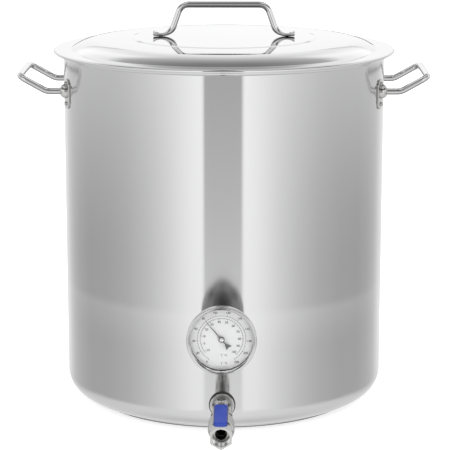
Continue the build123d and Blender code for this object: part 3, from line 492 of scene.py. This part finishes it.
def shade_under_pot():
    """A painted shadow: a dark disc under the pot, glowing faintly grey, which only the steel's reflections
    see.
    """
    mesh = bmesh.new()
    bmesh.ops.create_circle(mesh, cap_ends=True, segments=64, radius=0.1745)
    data = bpy.data.meshes.new("under_pot")
    mesh.to_mesh(data)
    mesh.free()
    disc = placed("under_pot", data)
    disc.location.z = 0.0003
    look = Look("under_pot", Roughness=1.0, Emission_Strength=1.0)
    patches = look.noise(look.coords((9, 9, 9)))
    look.to(look.tint(patches, [(0.0, (0.0, 0.0, 0.0)), (1.0, (0.02, 0.02, 0.02))]), "Base Color")
    look.to(look.tint(patches, [(0.0, (0.25, 0.25, 0.25)), (1.0, (0.30, 0.30, 0.30))]), "Emission Color")
    data.materials.append(look.material)
    disc.visible_camera = disc.visible_diffuse = disc.visible_shadow = disc.visible_transmission = False


shade_under_pot()

world = bpy.data.worlds.new("studio")
bpy.context.scene.world = world
world.use_nodes = True
studio = Nodes(world.node_tree)
studio.tree.nodes.clear()

# Only the steel's reflections see this pattern. turn is the direction round the pot, with 0.5 at the front, and
# height is the direction's rise, with 0.5 level.
STRIPE_CORE = 13.2       # half width of the front's grey stripe, in degrees
STRIPE_SIDE = 14.3       # the same with its soft edge
split = studio.node("ShaderNodeSeparateXYZ")
studio.link(studio.node("ShaderNodeTexCoord").outputs["Generated"], split.inputs[0])
azimuth = studio.math("ARCTAN2", split.outputs[0], studio.math("MULTIPLY", split.outputs[1], -1.0))
turn = studio.math("ADD", studio.math("DIVIDE", azimuth, 2 * math.pi), 0.5)
height = studio.math("ADD", studio.math("MULTIPLY", split.outputs[2], 0.5), 0.5)


def at(degrees):
    """Where an angle from the front falls on the turn."""
    return degrees / 360 + 0.5


def mirror_stops(levels):
    """Stops for both sides of the front: levels are (degrees from the front, level)."""
    left = [(at(-degrees), level) for degrees, level in reversed(levels) if degrees > 0]
    return left + [(at(degrees), level) for degrees, level in levels]


low_pattern = studio.greys(
    turn,
    mirror_stops([
        (0, 1.24), (STRIPE_SIDE, 1.24), (24, 1.11), (31, 0.98), (39, 0.80), (47, 0.67),
        (55, 0.56), (72, 0.42), (92, 0.36), (113, 0.36), (127, 0.44), (140, 0.58), (152, 0.80), (180, 1.0),
    ]),
)
high_pattern = studio.greys(
    turn,
    mirror_stops([
        (0, 1.20), (STRIPE_SIDE, 1.20), (30, 1.08), (47, 0.98), (63, 0.90), (80, 0.83),
        (113, 0.80), (140, 0.76), (160, 0.96), (180, 1.03),
    ]),
)

def by_sine(sine):
    """Where a rise, given as its sine, falls on the height."""
    return sine * 0.5 + 0.5


upper_share = studio.greys(height, [(by_sine(-0.215), 0.0), (by_sine(-0.11), 1.0)])
above = studio.mix(upper_share, low_pattern, high_pattern)
ground_pattern = studio.greys(
    turn,
    mirror_stops([
        (0, 0.98), (STRIPE_SIDE, 1.02), (24, 1.02), (39, 0.86), (55, 0.68), (72, 0.55),
        (92, 0.48), (113, 0.48), (127, 0.54), (140, 0.62), (152, 0.80), (180, 1.0),
    ]),
)
below = studio.greys(height, [(by_sine(-0.262), 1.0), (by_sine(-0.245), 0.0)])
band = studio.greys(
    height,
    [(by_sine(-0.285), 1.0), (by_sine(-0.257), 1.10), (by_sine(-0.250), 1.10), (by_sine(-0.245), 1.0)],
)
sides = studio.times(studio.mix(below, above, ground_pattern), band)
stripe_share = studio.greys(turn, mirror_stops([(STRIPE_CORE, 1.0), (STRIPE_SIDE, 0.0)]))
stripe_level = studio.greys(
    height,
    [
        (by_sine(-0.275), 1.0), (by_sine(-0.26), 0.72), (by_sine(-0.23), 0.64), (by_sine(-0.17), 0.54),
        (by_sine(-0.12), 0.42),
    ],
)
walls = studio.mix(stripe_share, sides, stripe_level)
# above the horizon: up_front before the pot, up_back behind it, and up_pattern in a wedge straight behind
up_front = studio.greys(
    height,
    [
        (by_sine(0.15), 1.0), (by_sine(0.32), 1.20), (by_sine(0.47), 0.30), (by_sine(0.60), 0.10),
        (by_sine(0.72), 0.22), (by_sine(0.82), 0.90), (1.0, 0.75),
    ],
)
up_pattern = studio.greys(
    height,
    [
        (by_sine(0.02), 1.0), (by_sine(0.09), 1.05), (by_sine(0.235), 1.05), (by_sine(0.265), 0.66),
        (by_sine(0.30), 0.98), (by_sine(0.42), 0.94),
        (by_sine(0.57), 0.82), (by_sine(0.70), 0.60), (by_sine(0.82), 0.40), (by_sine(0.91), 0.25), (1.0, 0.20),
    ],
)
up_back = studio.greys(
    height,
    [(by_sine(0.02), 1.0), (by_sine(0.09), 1.05), (by_sine(0.20), 1.05), (by_sine(0.32), 1.28), (1.0, 1.0)],
)
front_share = studio.greys(turn, mirror_stops([(90, 1.0), (115, 0.0)]))
low_share = studio.greys(turn, mirror_stops([(163, 0.0), (172, 1.0)]))
high_share = studio.greys(turn, mirror_stops([(125, 0.0), (140, 1.0)]))
lift = studio.greys(height, [(by_sine(0.60), 0.0), (by_sine(0.70), 1.0)])
wedge_share = studio.mix(lift, low_share, high_share)
upwards = studio.mix(wedge_share, studio.mix(front_share, up_back, up_front), up_pattern)
horizon = studio.greys(
    height,
    [(by_sine(-0.10), 0.0), (by_sine(-0.075), 1.0), (by_sine(-0.01), 1.0), (by_sine(0.01), 0.0)],
)
back_share = studio.greys(turn, mirror_stops([(145, 0.0), (165, 1.0)]))
skyline_dark = studio.math("MULTIPLY", studio.math("MULTIPLY", horizon, back_share), 0.85)
skyline = studio.math("SUBTRACT", 1.0, skyline_dark)
mixed = studio.times(studio.times(walls, upwards), skyline)
floor_share = studio.greys(height, [(by_sine(-0.52), 1.0), (by_sine(-0.36), 0.0)])
floor_depth = studio.greys(height, [(0.0, 0.85), (by_sine(-0.93), 0.92), (by_sine(-0.80), 1.0)])
floor_round = studio.greys(
    turn, mirror_stops([(0, 0.92), (20, 0.92), (60, 0.84), (100, 0.78), (140, 0.78), (180, 0.86)])
)
floor_level = studio.times(floor_round, floor_depth)
grounded = studio.mix(floor_share, mixed, floor_level)
reflected = studio.node("ShaderNodeBackground")
studio.link(grounded, reflected.inputs["Color"])
plain = studio.node("ShaderNodeBackground")
plain.inputs["Color"].default_value = (1, 1, 1, 1)
pick = studio.node("ShaderNodeMixShader")
path = studio.node("ShaderNodeLightPath")
direct = studio.math("MAXIMUM", path.outputs["Is Camera Ray"], path.outputs["Is Diffuse Ray"])
studio.link(studio.math("MAXIMUM", direct, path.outputs["Is Transmission Ray"]), pick.inputs[0])
studio.link(reflected.outputs[0], pick.inputs[1])
studio.link(plain.outputs[0], pick.inputs[2])
studio.link(pick.outputs[0], studio.node("ShaderNodeOutputWorld").inputs[0])


def soft_light(name, place, aim, side, power):
    """A square lamp, left out of the steel's reflections."""
    data = bpy.data.lights.new(name, "AREA")
    data.shape = "RECTANGLE"
    data.size = data.size_y = side
    data.energy = power
    lamp = placed(name, data)
    lamp.location = place
    lamp.rotation_mode = "QUATERNION"
    lamp.rotation_quaternion = (Vector(aim) - Vector(place)).to_track_quat("-Z", "Y")
    lamp.visible_glossy = False


soft_light("top_light", (0, -0.4, 3.6), (0, 0, 0.2), 4.5, 150)


# ---------------------------------------------------------------- camera
YAW = math.radians(0.6)
DISTANCE, HEIGHT, PITCH = 2.4, 0.739275, 0.2154
camera = placed("camera", bpy.data.cameras.new("camera"))
camera.data.sensor_width = 36.0
camera.data.lens = 154.375
camera.data.shift_x = 0.00236
camera.data.clip_start, camera.data.clip_end = 0.05, 60
camera.location = (DISTANCE * math.sin(YAW), -DISTANCE * math.cos(YAW), HEIGHT)
camera.rotation_euler = (math.pi / 2 - PITCH, 0, YAW)
bpy.context.scene.camera = camera
bpy.context.scene.view_settings.view_transform = "Standard"
bpy.context.scene.view_settings.look = "None"
